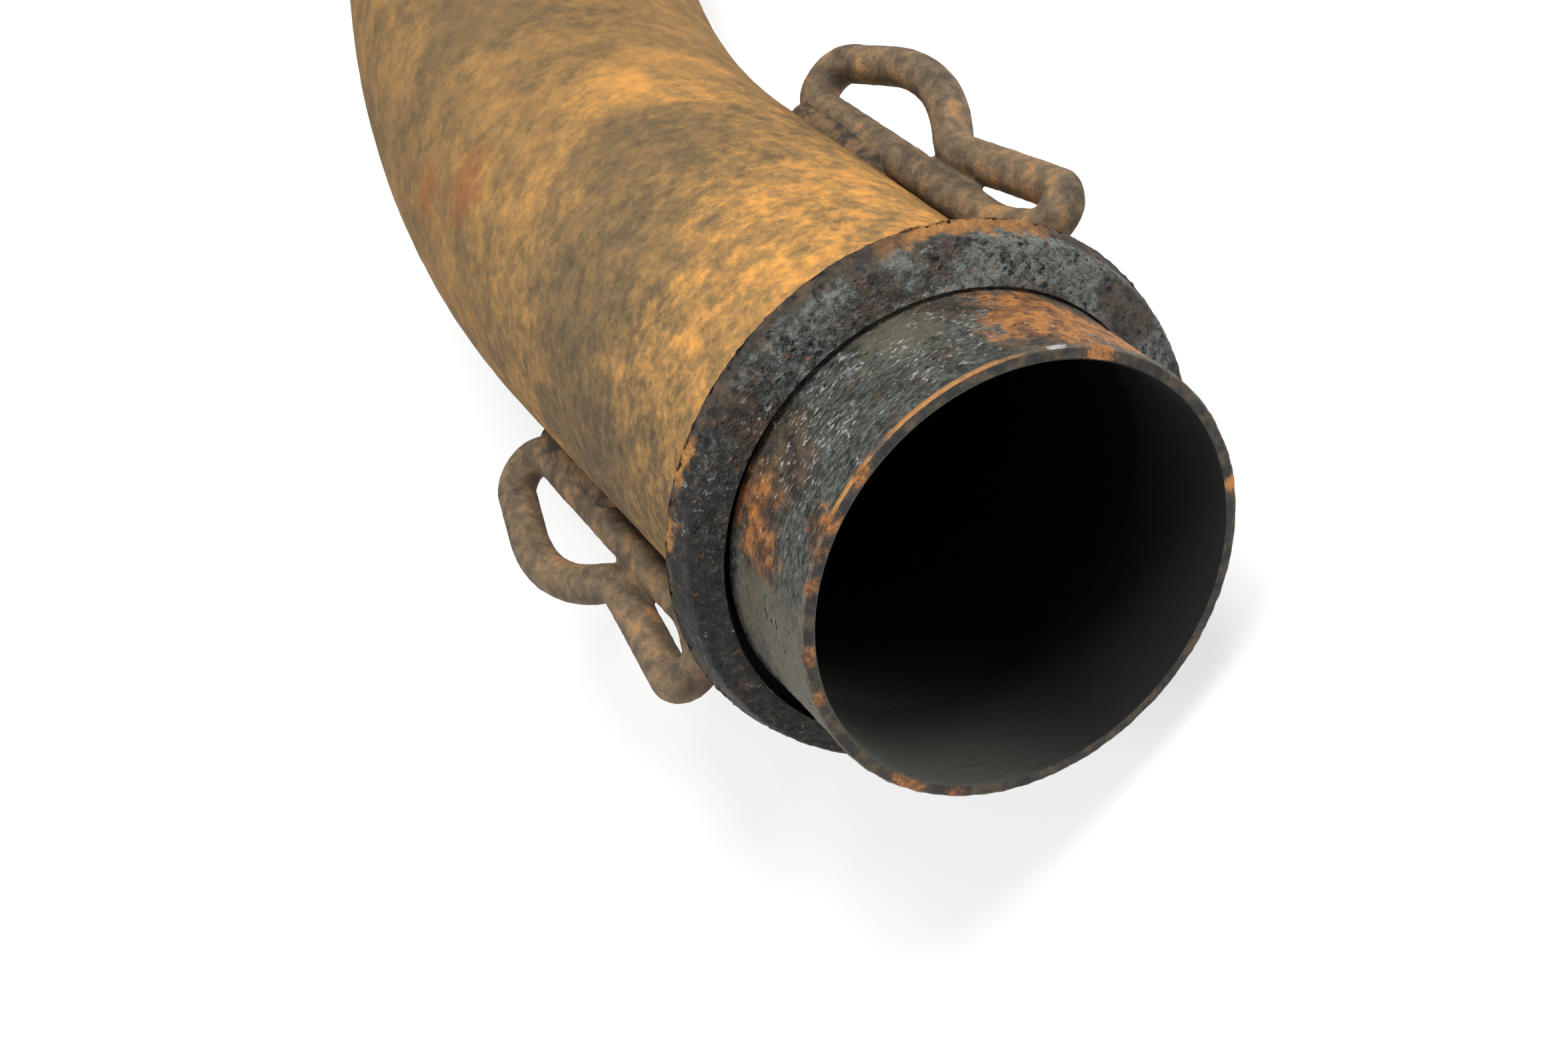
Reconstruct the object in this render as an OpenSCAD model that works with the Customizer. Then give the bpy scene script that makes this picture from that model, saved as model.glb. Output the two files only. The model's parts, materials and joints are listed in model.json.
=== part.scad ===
// Corroded exhaust pipe: one bent steel tube with a welded stop ring near its
// mouth and two bent wire hanger hooks on opposite sides of the short leg.
// The origin is the centre of the mouth, which looks along +X. The pipe bends
// towards +Y behind it. The long leg lies flat on the floor, and the wide ring
// props the short leg up by a few degrees.

/* [Tube] */
// Outer diameter of the tube
tube_d = 50.8; // [38:0.1:76.2]
// Wall thickness of the tube
tube_wall = 1.65; // [1:0.05:3]
// How far a bend draws the tube's outside in and its wall thinner
tube_draw = 0.06; // [0.04:0.01:0.2]
// Length of tube stock in the pipe, measured along its centreline
stock_length = 500; // [420:10:1000]
// Centreline radius of the bend
bend_radius = 203.2; // [150:0.1:260]
// Angle of the bend
bend_angle = 45; // [30:1:60]
// Straight tube between the bend and the back of the stop ring
short_leg = 69.6; // [66:0.1:110]
// Bare tube in front of the stop ring, up to the mouth
stub_length = 16.6; // [8:0.1:40]

/* [Stop ring] */
// How far the stop ring stands out from the tube
ring_overhang = 5.9; // [3:0.1:12]
// Thickness of the stop ring
ring_thickness = 3.2; // [2:0.1:6]
// Clearance of the ring's bore over the tube, on the radius
ring_clearance = 0.45; // [0.3:0.05:0.8]
// How far the ring sits off the tube's centre
ring_offset = 0.3; // [0:0.05:0.3]
// Leg length of the weld bead behind the ring
ring_bead = 2.6; // [1.5:0.1:4]
// Depth of the groove that rust has eaten into the tube under the ring
crevice_depth = 0.3; // [0.26:0.02:0.5]

/* [Hooks] */
// Diameter of the hook wire
wire_d = 5; // [4:0.1:6]
// How far a bend draws the wire's radius in
wire_draw = 0.04; // [0.03:0.01:0.1]
// Height of the hump's centreline over the wire's leg
hump_height = 10; // [8.3:0.1:12.5]
// Clearance between the wire's leg and the tube
leg_clearance = 0.3; // [0.1:0.05:0.5]
// Gap left inside the tight bend at the hook's tip
tip_gap = 0.5; // [0.3:0.1:2]
// Lift of the wire off its leg where the tip bend starts
tip_lift = 1.8; // [1.4:0.1:3]
// How far the outer wire is pressed into the leg at the neck
neck_press = 0.4; // [0.2:0.1:0.8]
// Distance from the ring's back to the inner hook's tip
inner_setback = 10.2; // [4:0.1:14]
// Distance from the ring's back to the outer hook's tip
outer_setback = 12; // [4:0.1:14]
// Radius of the weld blob where a hook's root meets the tube
root_bead = 3.6; // [3.4:0.1:4.5]

/* [Hidden] */
$fn = 96;

tube_r = tube_d / 2;
bore_r = tube_r - tube_wall;
ring_r = tube_r + ring_overhang;
bead_leg = min(ring_bead, ring_overhang - 0.5);
mouth_leg = short_leg + ring_thickness + stub_length;
bend_length = bend_radius * bend_angle * PI / 180;
long_leg = stock_length - bend_length - mouth_leg;

// The ring is wider than the tube, so it props its end of the pipe up. The long
// leg stays on the floor as a line, and the pipe is turned about that direction.
ring_reach = bend_radius * (1 - cos(bend_angle))
           + (short_leg + ring_thickness / 2) * sin(bend_angle);
rest_tilt = asin(ring_overhang / ring_reach);

// Angles of the hook's wire: the rise to the tip, the dip of the outer wire
// towards the neck, the climb onto the hump and the fall behind it.
rise_angle = 20;
dip_angle = 8;
climb_angle = 35;
fall_angle = 17;
rise_radius = 14;
neck_radius = 6;
climb_length = 0.6;
fall_length = 8;

// Straight stock runs this far into a bend, so that the two are one solid
tube_lap = 0.5;
wire_lap = 0.05;

wire_r = wire_d / 2;
leg_height = tube_r + leg_clearance + wire_r;
tip_radius = wire_r + tip_gap / 2;
rise_length = (tip_lift - rise_radius * (1 - cos(rise_angle))) / sin(rise_angle);

// Heights over the leg's centreline, going round the loop from the tip
tip_top = tip_lift + tip_radius * (cos(rise_angle) + cos(dip_angle));
neck_start = wire_d - neck_press + neck_radius * (1 - cos(dip_angle));
bar_length = (tip_top - neck_start) / sin(dip_angle);
neck_end = neck_start + neck_radius * (cos(dip_angle) - cos(climb_angle));
climb_end = neck_end + climb_length * sin(climb_angle);
crest_radius = (hump_height - climb_end) / (1 - cos(climb_angle));
fall_start = hump_height - crest_radius * (1 - cos(fall_angle));
root_radius = (fall_start - fall_length * sin(fall_angle)) / (1 + cos(fall_angle));

// The leg closes the loop: it runs from the root bend to the foot of the rise
tip_reach = rise_radius * sin(rise_angle) + rise_length * cos(rise_angle)
          - tip_radius * sin(rise_angle);
hump_reach = bar_length * cos(dip_angle)
           + (tip_radius + neck_radius) * sin(dip_angle)
           + (neck_radius + crest_radius) * sin(climb_angle)
           + climb_length * cos(climb_angle)
           + (crest_radius - root_radius) * sin(fall_angle)
           + fall_length * cos(fall_angle);
leg_length = hump_reach - tip_reach;
leg_front = tip_reach + tip_radius + wire_r;

// Tilts the finished pipe onto the floor, about the long leg's direction
module lay_down() {
    rotate(a = rest_tilt, v = [cos(bend_angle), -sin(bend_angle), 0]) children();
}

// Frame of the short leg: X towards the mouth from the end of the bend, Y
// towards the bend's inner side
module on_short_leg() {
    translate([-mouth_leg, 0, 0]) children();
}

// Frame of the long leg: X towards the plain end from the other end of the bend
module on_long_leg() {
    on_short_leg()
        translate([0, bend_radius, 0])
            rotate([0, 0, -bend_angle])
                translate([0, -bend_radius, 0])
                    rotate([0, 0, 180])
                        children();
}

// Rod along +X
module rod(radius, length) {
    rotate([0, 90, 0]) cylinder(r = radius, h = length);
}

// The tube's whole path, for its outside and its bore: the radius of the two
// legs and of the bend between them, and how far the ends reach past the tube
module tube_path(radius, bend_section, past_ends = 0) {
    on_short_leg() {
        translate([-tube_lap, 0, 0]) rod(radius, mouth_leg + tube_lap + past_ends);
        translate([0, bend_radius, 0])
            rotate([0, 0, -90 - bend_angle])
                rotate_extrude(angle = bend_angle)
                    translate([bend_radius, 0])
                        circle(r = bend_section);
    }
    on_long_leg()
        translate([-tube_lap, 0, 0]) rod(radius, long_leg + tube_lap + past_ends);
}

// Shallow groove around the tube under the ring, which ends the bare stub
module crevice() {
    on_short_leg()
        translate([short_leg, 0, 0])
            difference() {
                rod(tube_r + 1, ring_thickness);
                translate([-1, 0, 0]) rod(tube_r - crevice_depth, ring_thickness + 2);
            }
}

module exhaust_pipe() {
    color([0.62, 0.42, 0.24])
        lay_down()
            difference() {
                tube_path(tube_r, tube_r - tube_draw);
                tube_path(bore_r, bore_r + tube_draw / 2, 1);
                crevice();
            }
}

// The ring hangs a little off centre, so its gap shows on one side only
module stop_ring() {
    color([0.24, 0.24, 0.25])
        lay_down()
            on_short_leg()
                translate([short_leg, ring_offset, 0])
                    difference() {
                        rod(ring_r, ring_thickness);
                        translate([-1, 0, 0]) rod(tube_r + ring_clearance, ring_thickness + 2);
                    }
}

// Fillet bead between the back of the ring and the tube
module ring_weld() {
    color([0.36, 0.27, 0.19])
        lay_down()
            on_short_leg()
                translate([short_leg, 0, 0])
                    rotate([0, -90, 0])
                        rotate_extrude()
                            polygon([[tube_r, 0], [tube_r + bead_leg, 0], [tube_r, bead_leg]]);
}

// A straight run of the wire, then whatever follows it
module run(length) {
    translate([-wire_lap, 0, 0]) rod(wire_r, length + 2 * wire_lap);
    translate([length, 0, 0]) children();
}

// A bend of the wire, then whatever follows it. The bend turns towards +Y, or
// towards -Y with side = -1.
module turn(radius, angle, side = 1) {
    translate([0, side * radius, 0])
        mirror([0, side > 0 ? 0 : 1, 0])
            rotate([0, 0, -90])
                rotate_extrude(angle = angle)
                    translate([radius, 0])
                        circle(r = wire_r - wire_draw);
    translate([0, side * radius, 0])
        rotate([0, 0, side * angle])
            translate([0, -side * radius, 0])
                children();
}

// Root bend and leg, which lie along the tube
module root_and_leg() {
    translate([-leg_length - root_radius * sin(fall_angle),
               root_radius * (1 + cos(fall_angle)), 0])
        rotate([0, 0, 180 + fall_angle])
            turn(root_radius, 180 - fall_angle)
                run(leg_length)
                    children();
}

// The wire loop in its own plane: the leg is on X and ends at the origin
module hook_wire() {
    root_and_leg()
        turn(rise_radius, rise_angle)
            run(rise_length)
                turn(tip_radius, 180 - rise_angle + dip_angle)
                    run(bar_length)
                        turn(neck_radius, dip_angle + climb_angle, -1)
                            run(climb_length)
                                turn(crest_radius, climb_angle + fall_angle)
                                    run(fall_length);
}

// Places what belongs to one hook. side is 1 on the bend's inner side and -1
// on its outer side.
module at_hook(setback, side) {
    lay_down()
        on_short_leg()
            mirror([0, side > 0 ? 0 : 1, 0])
                translate([short_leg - setback - leg_front, leg_height, 0])
                    children();
}

module hook(setback, side) {
    color([0.45, 0.38, 0.29])
        at_hook(setback, side)
            hook_wire();
}

// Weld blob along the hind part of the leg, cut to the tube and the wire
module root_weld(setback, side) {
    bead_length = leg_length / 4;
    color([0.33, 0.26, 0.19])
        at_hook(setback, side)
            difference() {
                translate([-leg_length, -leg_height + tube_r, 0]) {
                    rod(root_bead, bead_length);
                    sphere(r = root_bead);
                    translate([bead_length, 0, 0]) sphere(r = root_bead);
                }
                translate([-leg_length - 20, -leg_height, 0]) rod(tube_r, bead_length + 40);
                root_and_leg();
            }
}

exhaust_pipe();
stop_ring();
ring_weld();
hook(inner_setback, 1);  // inner_hook
hook(outer_setback, -1);  // outer_hook
root_weld(inner_setback, 1);  // inner_root_weld
root_weld(outer_setback, -1);  // outer_root_weld
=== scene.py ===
import json
import math
import bpy
import numpy as np
from mathutils import Matrix, Vector


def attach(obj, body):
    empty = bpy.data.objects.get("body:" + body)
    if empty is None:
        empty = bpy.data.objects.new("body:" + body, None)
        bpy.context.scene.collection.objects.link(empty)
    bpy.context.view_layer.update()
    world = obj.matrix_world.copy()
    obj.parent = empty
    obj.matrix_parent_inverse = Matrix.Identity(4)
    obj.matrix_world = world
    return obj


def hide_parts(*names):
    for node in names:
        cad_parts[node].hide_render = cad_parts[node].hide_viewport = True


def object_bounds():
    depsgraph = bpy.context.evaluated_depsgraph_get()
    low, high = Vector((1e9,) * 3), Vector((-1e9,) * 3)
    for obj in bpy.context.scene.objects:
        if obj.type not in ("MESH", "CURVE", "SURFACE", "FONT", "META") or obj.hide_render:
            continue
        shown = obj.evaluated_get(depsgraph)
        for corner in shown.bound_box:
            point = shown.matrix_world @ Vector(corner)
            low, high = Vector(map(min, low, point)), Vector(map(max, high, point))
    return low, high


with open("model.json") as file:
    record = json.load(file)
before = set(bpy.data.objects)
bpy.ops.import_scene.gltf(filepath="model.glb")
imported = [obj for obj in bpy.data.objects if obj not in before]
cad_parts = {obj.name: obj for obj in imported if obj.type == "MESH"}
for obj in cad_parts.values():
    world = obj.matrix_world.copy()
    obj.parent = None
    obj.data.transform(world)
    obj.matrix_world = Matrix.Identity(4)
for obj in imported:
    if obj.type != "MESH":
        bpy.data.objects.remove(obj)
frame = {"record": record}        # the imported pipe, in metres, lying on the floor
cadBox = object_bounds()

mm = 0.001
mounts = {m["name"]: m for m in frame["record"]["mounts"]}

# sizes of the tube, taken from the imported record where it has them
tube = {
    "outer": mounts["mouth_stub"]["dims"]["r_mm"] * mm,
    "bore": mounts["mouth_bore"]["dims"]["r_mm"] * mm,
    "stub": mounts["mouth_stub"]["dims"]["length_mm"] * mm,
    "mouthLeg": mounts["mouth_bore"]["dims"]["length_mm"] * mm,
    "longLeg": mounts["plain_end"]["dims"]["length_mm"] * mm,
    "endInset": 0.00001,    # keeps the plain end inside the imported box
    "bendRadius": 0.2032,
    "bendAngle": math.radians(45),
    "seam": -0.0170,        # where the stub meets the rest of the tube, under the ring
    "groove": 0.0003,       # depth of the groove that the ring covers
}
# the wide ring props the mouth up, and its axis climbs with it
climb = mounts["mouth_stub"]["axis"][2]
restTilt = math.asin(climb / math.sin(tube["bendAngle"]))
legLine = Vector((math.cos(tube["bendAngle"]), -math.sin(tube["bendAngle"]), 0))
layDown = Matrix.Rotation(restTilt, 4, legLine)


def clearSelection():
    if bpy.context.mode != "OBJECT":
        bpy.ops.object.mode_set(mode="OBJECT")
    bpy.ops.object.select_all(action="DESELECT")


def pick(piece):
    clearSelection()
    piece.select_set(True)
    bpy.context.view_layer.objects.active = piece


def startRing(name, count, radius, x):
    clearSelection()
    bpy.ops.mesh.primitive_circle_add(vertices=count, radius=radius, location=(x, 0, 0),
                                      rotation=(0, math.pi / 2, 0))
    piece = bpy.context.object
    piece.name = name
    fixPlace()
    bpy.ops.object.mode_set(mode="EDIT")
    bpy.ops.mesh.select_mode(type="VERT")
    bpy.ops.mesh.select_all(action="SELECT")
    return piece


def pull(steps, offset):
    # draws the selected ring out in equal steps
    bpy.ops.mesh.extrude_repeat(steps=steps, offset=tuple(offset), scale_offset=1)


def stepRing(move, factor, centre):
    # one more ring, moved and resized
    bpy.ops.mesh.extrude_region_move(TRANSFORM_OT_translate={"value": tuple(move)})
    bpy.ops.transform.resize(value=(factor, factor, factor), center_override=tuple(centre))


mergeDistance = 0.000002


def mergeAndTurnOut(piece):
    pick(piece)
    bpy.ops.object.mode_set(mode="EDIT")
    bpy.ops.mesh.select_all(action="SELECT")
    bpy.ops.mesh.remove_doubles(threshold=mergeDistance)
    bpy.ops.mesh.normals_make_consistent(inside=False)
    bpy.ops.object.mode_set(mode="OBJECT")


def closeEnds(piece, x):
    # joins the two rings left open at this place along X
    bpy.ops.mesh.select_all(action="DESELECT")
    bpy.ops.object.mode_set(mode="OBJECT")
    for edge in piece.data.edges:
        ends = [piece.data.vertices[i].co for i in edge.vertices]
        edge.select = all(abs(end.x - x) < 5 * mergeDistance for end in ends)
    bpy.ops.object.mode_set(mode="EDIT")
    bpy.ops.mesh.select_mode(type="EDGE")
    bpy.ops.mesh.bridge_edge_loops()
    bpy.ops.mesh.select_mode(type="VERT")


def points(piece):
    flat = np.empty(len(piece.data.vertices) * 3, np.float32)
    piece.data.vertices.foreach_get("co", flat)
    return flat.reshape(-1, 3)


def putBack(piece, spots):
    piece.data.vertices.foreach_set("co", spots.ravel())
    piece.data.update()


def smoothRise(values, low, high):
    t = np.clip((values - low) / (high - low), 0, 1)
    return t * t * (3 - 2 * t)


def markStraight(piece, places):
    # each point's place on the unbent piece, in millimetres, for the materials
    layer = piece.data.attributes.new("straight", "FLOAT_VECTOR", "POINT")
    layer.data.foreach_set("vector", (places / mm).astype(np.float32).ravel())


def markGroup(piece, name, weights, levels=20):
    # weights come in even levels, so that each level is added in one go
    group = piece.vertex_groups.new(name=name)
    for level in range(1, levels + 1):
        chosen = np.nonzero(np.round(weights * levels) == level)[0]
        group.add(chosen.tolist(), level / levels, "REPLACE")


def relief(piece, name, kind, size, depth, squash=(1, 1, 1), group="", middle=1.0, **extra):
    # size and depth in millimetres; a middle below 1 leaves plateaus between the pits
    texture = bpy.data.textures.new(name, kind)
    texture.noise_scale = size
    for key, value in extra.items():
        setattr(texture, key, value)
    clearSelection()
    bpy.ops.object.empty_add(location=(0, 0, 0))
    guide = bpy.context.object
    guide.scale = [mm * s for s in squash]
    bpy.context.view_layer.update()
    pick(piece)
    before = points(piece)
    facing = np.array([v.normal for v in piece.data.vertices], np.float32)
    push = piece.modifiers.new(name, "DISPLACE")
    push.texture = texture
    push.texture_coords = "OBJECT"
    push.texture_coords_object = guide
    push.strength = depth * mm
    push.mid_level = middle
    push.vertex_group = group
    bpy.ops.object.modifier_apply(modifier=name)
    bpy.data.objects.remove(guide)
    # rust eats in, so no point may end further out than it began
    after = points(piece)
    grown = np.einsum("ij,ij->i", after - before, facing) > 0
    after[grown] = before[grown]
    putBack(piece, after)


def wear(piece, layers):
    for layer in layers:
        relief(piece, **layer)


def fixPlace():
    bpy.ops.object.transform_apply(location=True, rotation=True, scale=True)


def melt(piece, voxel, softening):
    # one skin over all that overlaps, then softened
    skin = piece.modifiers.new("melt", "REMESH")
    skin.mode = "VOXEL"
    skin.voxel_size = voxel
    bpy.ops.object.modifier_apply(modifier="melt")
    soften = piece.modifiers.new("soften", "SMOOTH")
    soften.iterations = softening
    bpy.ops.object.modifier_apply(modifier="soften")


def finishPiece(piece, node, material, smooth=40):
    pick(piece)
    piece.matrix_world = layDown
    fixPlace()
    bpy.ops.object.shade_smooth_by_angle(angle=math.radians(smooth))
    piece.data.materials.clear()
    piece.data.materials.append(material)
    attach(piece, "root")
    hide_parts(node)
    print(piece.name, len(piece.data.polygons), "faces")


stubShape = {
    "around": 420, "outSteps": 52, "inSteps": 22,
    "lipStart": -0.00035,
    # the mouth's rounded edge: millimetres along and millimetres from the axis
    "lip": [(-0.20, 25.38), (-0.09, 25.30), (-0.02, 25.16), (0, 25.0), (0, 24.7), (0, 24.4),
            (0, 24.1), (-0.05, 23.9), (-0.16, 23.80), (-0.35, 23.75)],
    "wear": [
        {"name": "waves", "kind": "CLOUDS", "size": 6, "depth": 0.2, "group": "outside"},
        {"name": "flakes", "kind": "CLOUDS", "size": 1.3, "depth": 0.34, "squash": (0.5, 1, 1),
         "group": "outside", "noise_depth": 3, "middle": 0.75},
        {"name": "pits", "kind": "VORONOI", "size": 1.2, "depth": 0.10, "group": "outside",
         "weight_1": -1, "weight_2": 1},
        {"name": "chips", "kind": "CLOUDS", "size": 1.1, "depth": 0.22, "group": "lip", "noise_depth": 2},
    ],
}


def makeStub(material):
    s = stubShape
    seam, outer = tube["seam"], tube["outer"]
    neck = outer - tube["groove"]
    piece = startRing("stub", s["around"], neck, seam)
    radius = neck
    x = seam
    edge = -tube["stub"]

    def toRing(newX, newRadius):
        nonlocal radius, x
        stepRing((newX - x, 0, 0), newRadius / radius, (newX, 0, 0))
        radius, x = newRadius, newX

    toRing(edge, neck)
    toRing(edge, outer)
    straight = s["lipStart"] - edge
    pull(s["outSteps"], (straight / s["outSteps"], 0, 0))
    x = s["lipStart"]
    for along, out in s["lip"]:
        toRing(along * mm, out * mm)
    back = seam - x
    pull(s["inSteps"], (back / s["inSteps"], 0, 0))
    closeEnds(piece, seam)
    mergeAndTurnOut(piece)
    spots = points(piece)
    markStraight(piece, spots)
    radii = np.hypot(spots[:, 1], spots[:, 2])
    # rust works on the outside from the groove on, and less towards the lip
    outside = smoothRise(radii, 0.0250, 0.0253) * smoothRise(spots[:, 0], edge - 0.0001, edge + 0.0006)
    outside = outside * (0.15 + 0.85 * smoothRise(-spots[:, 0], 0.0003, 0.0016))
    lip = smoothRise(spots[:, 0], -0.0010, -0.0003) * smoothRise(radii, 0.0238, 0.0242)
    markGroup(piece, "outside", outside)
    markGroup(piece, "lip", lip)
    wear(piece, s["wear"])
    finishPiece(piece, "exhaust_pipe", material)


bodyShape = {
    "around": 256, "bendSteps": 100, "longSteps": 66, "insideBend": 34, "insideLong": 30,
    "legStep": 0.9, "insideStep": 3.0,      # millimetres between rings on the short leg
    "lipLength": 0.0003,
    # the plain end's edge: millimetres further along and millimetres from the axis
    "lip": [(0.2, 25.32), (0.1, 25.1), (0, 24.6), (0, 24.1), (-0.1, 23.85), (-0.2, 23.75)],
    "wear": [
        {"name": "waves", "kind": "CLOUDS", "size": 12, "depth": 0.12, "group": "outside", "middle": 0.8},
        {"name": "scabs", "kind": "CLOUDS", "size": 2.2, "depth": 0.2, "squash": (0.7, 1, 1),
         "group": "outside", "noise_depth": 3, "middle": 0.8},
    ],
}


def unbend(spots):
    # where each point would be if the tube were straight
    straight = spots.copy()
    radius, angle = tube["bendRadius"], tube["bendAngle"]
    fromCentre = spots[:, :2] - np.array([-tube["mouthLeg"], radius])
    turned = np.arctan2(-fromCentre[:, 0], -fromCentre[:, 1])
    inBend = (turned > 0) & (turned < angle)
    distance = np.hypot(fromCentre[:, 0], fromCentre[:, 1])
    straight[inBend, 0] = -tube["mouthLeg"] - radius * turned[inBend]
    straight[inBend, 1] = radius - distance[inBend]
    past = turned >= angle
    c, s = math.cos(angle), math.sin(angle)
    straight[past, 0] = (c * fromCentre[past, 0] - s * fromCentre[past, 1]
                         - tube["mouthLeg"] - radius * angle)
    straight[past, 1] = s * fromCentre[past, 0] + c * fromCentre[past, 1] + radius
    return straight


def makeBody(material):
    b = bodyShape
    seam, outer = tube["seam"], tube["outer"]
    neck = outer - tube["groove"]
    grooveEnd = -tube["stub"] - ringShape["thick"]
    piece = startRing("tube", b["around"], neck, seam)
    pull(1, (grooveEnd - seam, 0, 0))
    stepRing((0, 0, 0), outer / neck, (grooveEnd, 0, 0))
    leg = -tube["mouthLeg"] - grooveEnd
    steps = round(-leg / (b["legStep"] * mm))
    pull(steps, (leg / steps, 0, 0))
    centre = (-tube["mouthLeg"], tube["bendRadius"], 0)
    bpy.ops.mesh.spin(steps=b["bendSteps"], angle=tube["bendAngle"], center=centre, axis=(0, 0, 1))
    run = tube["longLeg"] - tube["endInset"] - b["lipLength"]
    pull(b["longSteps"], -legLine * (run / b["longSteps"]))
    end = Vector((-tube["mouthLeg"] - tube["bendRadius"] * math.sin(tube["bendAngle"]),
                  tube["bendRadius"] * (1 - math.cos(tube["bendAngle"])), 0)) - legLine * run
    radius = outer
    for along, out in b["lip"]:
        move = -legLine * (along * mm)
        end = end + move
        stepRing(move, out * mm / radius, end)
        radius = out * mm
    pull(b["insideLong"], legLine * (run / b["insideLong"]))
    bpy.ops.mesh.spin(steps=b["insideBend"], angle=-tube["bendAngle"], center=centre, axis=(0, 0, 1))
    back = seam + tube["mouthLeg"]
    steps = round(back / (b["insideStep"] * mm))
    pull(steps, (back / steps, 0, 0))
    closeEnds(piece, seam)
    mergeAndTurnOut(piece)
    spots = points(piece)
    places = unbend(spots)
    markStraight(piece, places)
    radii = np.hypot(places[:, 1], places[:, 2])
    # the outside alone, and not where the ring's weld sits
    outside = smoothRise(radii, 0.0247, 0.0252)
    outside = outside * smoothRise(-places[:, 0], -grooveEnd + 0.0002, -grooveEnd + 0.003)
    markGroup(piece, "outside", outside)
    wear(piece, b["wear"])
    finishPiece(piece, "exhaust_pipe", material)


ringShape = {
    "radius": 0.0313, "bore": 0.02585, "thick": 0.0032, "offset": 0.0003,
    "round": 0.0005, "roundSteps": 5, "cuts": 12, "steps": 640,
    "boreShift": 0.0008,    # opens the crevice on the bend's outer side
    "closing": 0.004,       # share by which the bore closes on the inner side
    "wear": [
        {"name": "dents", "kind": "CLOUDS", "size": 6, "depth": 0.2, "group": "skin", "middle": 0.7},
        {"name": "crust", "kind": "CLOUDS", "size": 1.3, "depth": 0.3, "group": "skin",
         "noise_depth": 3, "middle": 0.75},
        {"name": "pits", "kind": "VORONOI", "size": 1.2, "depth": 0.18, "group": "skin",
         "weight_1": -1, "weight_2": 1, "middle": 0.6},
        {"name": "ragged", "kind": "CLOUDS", "size": 0.9, "depth": 1.0, "group": "band",
         "noise_depth": 4, "middle": 0.55},
    ],
}


def spinProfile(piece, steps, centre):
    bpy.ops.mesh.spin(steps=steps, angle=math.tau, center=centre, axis=(1, 0, 0))
    mergeAndTurnOut(piece)


def makeRing(material):
    r = ringShape
    back = -tube["stub"] - r["thick"]
    middle = (r["radius"] + r["bore"]) / 2
    clearSelection()
    bpy.ops.mesh.primitive_circle_add(vertices=4, radius=math.sqrt(0.5), rotation=(0, 0, math.pi / 4))
    piece = bpy.context.object
    piece.name = "stopRing"
    piece.scale = (r["thick"], r["radius"] - r["bore"], 1)
    piece.location = (back + r["thick"] / 2, middle + r["offset"], 0)
    fixPlace()
    bpy.ops.object.mode_set(mode="EDIT")
    bpy.ops.mesh.select_all(action="SELECT")
    bpy.ops.mesh.bevel(affect="VERTICES", offset=r["round"], segments=r["roundSteps"])
    bpy.ops.mesh.select_all(action="DESELECT")
    bpy.ops.object.mode_set(mode="OBJECT")
    for edge in piece.data.edges:
        start, end = (piece.data.vertices[i].co for i in edge.vertices)
        edge.select = (start - end).length > r["round"] * 1.5
    bpy.ops.object.mode_set(mode="EDIT")
    bpy.ops.mesh.subdivide(number_cuts=r["cuts"])
    bpy.ops.mesh.select_all(action="SELECT")
    spinProfile(piece, r["steps"], (0, r["offset"], 0))
    # the crevice round the stub is open on one side and rusted shut on the other
    spots = points(piece)
    radii = np.hypot(spots[:, 1] - r["offset"], spots[:, 2])
    nearBore = 1 - smoothRise(radii, r["bore"] + 0.0005, r["radius"] - 0.001)
    spots[:, 1] -= nearBore * r["boreShift"]
    closing = r["closing"] * nearBore * smoothRise(spots[:, 1], -0.012, 0.02)
    spots[:, 1:] *= (1 - closing)[:, None]
    putBack(piece, spots)
    markStraight(piece, spots)
    markGroup(piece, "skin", 1 - 0.9 * (1 - smoothRise(radii, r["bore"], r["bore"] + 0.0005)))
    markGroup(piece, "band", smoothRise(radii, r["radius"] - 0.0006, r["radius"] - 0.0001))
    wear(piece, r["wear"])
    finishPiece(piece, "stop_ring", material)


weldShape = {
    "leg": 0.0026, "around": 20, "steps": 360,
    "plump": 0.78, "setOut": 0.18,              # the bead's radius and centre, as shares of its leg
    "intoRing": 0.0008, "intoTube": 0.0004,     # how far it reaches into the two
    "wear": [{"name": "lumps", "kind": "CLOUDS", "size": 3.0, "depth": 0.8, "group": "bead",
              "noise_depth": 2}],
}


def makeRingWeld(material):
    w = weldShape
    back = -tube["stub"] - ringShape["thick"]
    outer = tube["outer"]
    clearSelection()
    bpy.ops.mesh.primitive_circle_add(vertices=w["around"], radius=1)
    piece = bpy.context.object
    piece.name = "ringWeld"
    # a round bead pressed into the corner between the ring and the tube
    piece.scale = (w["leg"] * w["plump"], w["leg"] * w["plump"], 1)
    piece.location = (back - w["leg"] * w["setOut"], outer + w["leg"] * w["setOut"], 0)
    fixPlace()
    for vertex in piece.data.vertices:
        vertex.co.x = min(vertex.co.x, back + w["intoRing"])
        vertex.co.y = max(vertex.co.y, outer - w["intoTube"])
    bpy.ops.object.mode_set(mode="EDIT")
    bpy.ops.mesh.select_all(action="SELECT")
    spinProfile(piece, w["steps"], (0, 0, 0))
    spots = points(piece)
    markStraight(piece, spots)
    radii = np.hypot(spots[:, 1], spots[:, 2])
    # the lumps keep off the ring and the tube, so that no gap opens there
    bead = smoothRise(back - spots[:, 0], 0.0006, 0.0018)
    bead = bead * smoothRise(radii, outer + 0.0002, outer + 0.001)
    markGroup(piece, "bead", bead)
    wear(piece, w["wear"])
    finishPiece(piece, "ring_weld", material)


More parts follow.
